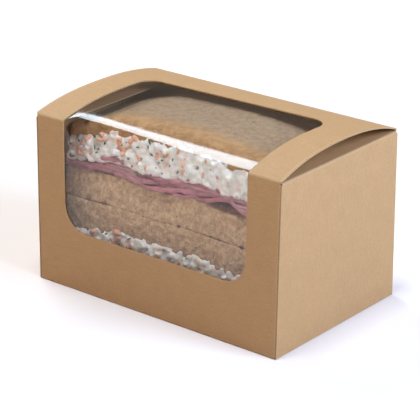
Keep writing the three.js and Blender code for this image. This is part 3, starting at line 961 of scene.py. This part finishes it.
# Each softbox's direction from the box, its distance, width, radiance and colour
SOFTBOXES = {
    "overhead_softbox": ((-0.6, 0.2, 0.77), 0.8, 0.35, 8.2, (0.80, 0.91, 1)),
    "top_softbox": ((0.03, -0.16, 1), 0.9, 0.2, 39.0, (0.76, 0.88, 1)),
    "right_softbox": ((0.9, 0.1, 0.55), 0.9, 0.5, 13.3, (0.475, 0.675, 1)),
    "front_softbox": ((-0.5, -0.7, 0.5), 1.1, 0.8, 0.38, (1, 0.72, 0.52)),
}


def add_camera():
    """The camera that took the photograph, from the fit of the box's corners."""
    back = Vector((
        math.sin(CAMERA_AZIMUTH) * math.cos(CAMERA_ELEVATION),
        -math.cos(CAMERA_AZIMUTH) * math.cos(CAMERA_ELEVATION),
        math.sin(CAMERA_ELEVATION),
    ))
    level_right = (-back).cross(Vector((0, 0, 1))).normalized()
    level_up = level_right.cross(-back)
    right = level_right * math.cos(CAMERA_ROLL) + level_up * math.sin(CAMERA_ROLL)
    up = level_up * math.cos(CAMERA_ROLL) - level_right * math.sin(CAMERA_ROLL)
    data = bpy.data.cameras.new("photo_camera")
    data.sensor_width = SENSOR_WIDTH
    data.lens = FOCAL_LENGTH
    data.clip_start = CLIP_START
    camera = bpy.data.objects.new("photo_camera", data)
    turned = Matrix((right, up, back)).transposed().to_4x4()
    camera.matrix_world = Matrix.Translation(CAMERA_TARGET + back * CAMERA_DISTANCE) @ turned
    bpy.context.scene.collection.objects.link(camera)
    bpy.context.scene.camera = camera


def add_softbox(name, direction, distance, size, radiance, colour):
    """A square soft light that faces the box. Its radiance is what a mirror of it would show."""
    data = bpy.data.lights.new(name, "AREA")
    data.shape = "RECTANGLE"
    data.size = data.size_y = size
    data.energy = radiance * math.pi * size * size
    data.color = colour
    lamp = bpy.data.objects.new(name, data)
    towards = Vector(direction).normalized()
    turned = towards.to_track_quat("Z", "Y").to_matrix().to_4x4()
    lamp.matrix_world = Matrix.Translation(towards * distance) @ turned
    bpy.context.scene.collection.objects.link(lamp)


def add_floor():
    """A pale floor that glows away from the box, so that it runs into the white behind it without an edge."""
    bm = bmesh.new()
    bmesh.ops.create_grid(bm, x_segments=1, y_segments=1, size=FLOOR_HALF_WIDTH)
    bmesh.ops.translate(bm, vec=(0, 0, -FLOOR_DROP), verts=bm.verts)
    finish = Finish("pale_floor")
    finish.set("Base Color", FLOOR_COLOUR)
    finish.set("Roughness", 0.9)
    finish.set("Specular IOR Level", 0.1)
    distance = finish.add("ShaderNodeVectorMath", {"operation": "LENGTH"})
    finish.feed(distance.inputs[0], finish.add("ShaderNodeTexCoord").outputs["Object"])
    glow = finish.level(distance.outputs["Value"], GLOW_START, GLOW_END, GLOW_NEAR, GLOW_FAR)
    finish.set("Emission Color", WHITE)
    finish.set("Emission Strength", glow)
    finished_object("floor", bm, [finish.material])


def add_world():
    """Faint warm light from all round, in front of a white backdrop."""
    world = bpy.data.worlds.new("soft_studio")
    world.use_nodes = True
    tree = world.node_tree
    background = tree.nodes["Background"]
    background.inputs["Color"].default_value = WORLD_COLOUR
    background.inputs["Strength"].default_value = WORLD_STRENGTH
    backdrop = tree.nodes.new("ShaderNodeBackground")
    backdrop.inputs["Color"].default_value = WHITE
    path = tree.nodes.new("ShaderNodeLightPath")
    either = tree.nodes.new("ShaderNodeMixShader")
    tree.links.new(path.outputs["Is Camera Ray"], either.inputs[0])
    tree.links.new(background.outputs[0], either.inputs[1])
    tree.links.new(backdrop.outputs[0], either.inputs[2])
    tree.links.new(either.outputs[0], tree.nodes["World Output"].inputs["Surface"])
    bpy.context.scene.world = world


def light_the_studio():
    add_floor()
    add_world()
    for name, values in SOFTBOXES.items():
        add_softbox(name, *values)
    bpy.context.scene.view_settings.view_transform = "Standard"


# Putting it together

def dress(piece, body, slot, *nodes):
    """Ties a piece to its body, and hides the solid that it stands for. The slot is not used."""
    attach(piece, body)
    if nodes:
        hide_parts(*nodes)


def make_carton():
    board = kraft_board()
    edge = board_edge()
    dress(make_sleeve(board, edge), "carton", "kraft_board", "carton_body")
    for side, word in ((1, "right"), (-1, "left")):
        panel = make_end_flap(f"{word}_end_panel", side, board, edge)
        dress(panel, f"{word}_end", "kraft_board", f"{word}_end_flap")
        crease = make_end_crease(f"{word}_end_crease", side, board, edge)
        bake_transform(crease)
    dress(make_film(window_film()), "carton", "window_film", "window_film")


def make_food():
    bread = bread_crumb("brown_bread", (0.470, 0.268, 0.128), (0.720, 0.462, 0.250))
    # The top slice's crumb is a darker copy of the bread's: painted shade over the whole slice.
    top_slice_shaded_bread = bread_crumb("bread_top_slice_painted_shade", (0.340, 0.222, 0.128), (0.450, 0.305, 0.185))
    ham = cooked_ham()
    slaw = creamy_cabbage()
    carrot = vegetable("carrot", (0.70, 0.26, 0.12), (0.90, 0.52, 0.34), 0.4)
    herb = vegetable("green_herb", (0.035, 0.075, 0.030), (0.12, 0.20, 0.08), 0.5)
    for node in LAYERS:
        name = node.replace("sandwich", "stack")
        if node.endswith("bread"):
            material, rim = (top_slice_shaded_bread, TOP_SLICE_RIM) if node == TOP_SLICE else (bread, BREAD_RIM)
            voxel = HIDDEN_BREAD_VOXEL if node == HIDDEN_SLICE else BREAD_VOXEL
            dress(make_bread(name, node, material, rim, voxel), "carton", "bread", node)
        elif "ham" in node:
            dress(make_ham(name, node, ham), "carton", "ham", node)
        else:
            word = node.split("_")[0]
            cabbage, fronts = make_coleslaw(f"{word}_cabbage", node, slaw)
            dress(cabbage, "carton", "coleslaw", node)
            shreds = make_shreds(f"{word}_carrot_shreds", carrot, *CARROT_SHREDS, fronts)
            dress(shreds, "carton", "coleslaw")
            herbs = make_shreds(f"{word}_herbs", herb, *HERB_SHREDS, fronts)
            dress(herbs, "carton", "coleslaw")


add_camera()
light_the_studio()
make_carton()
make_food()
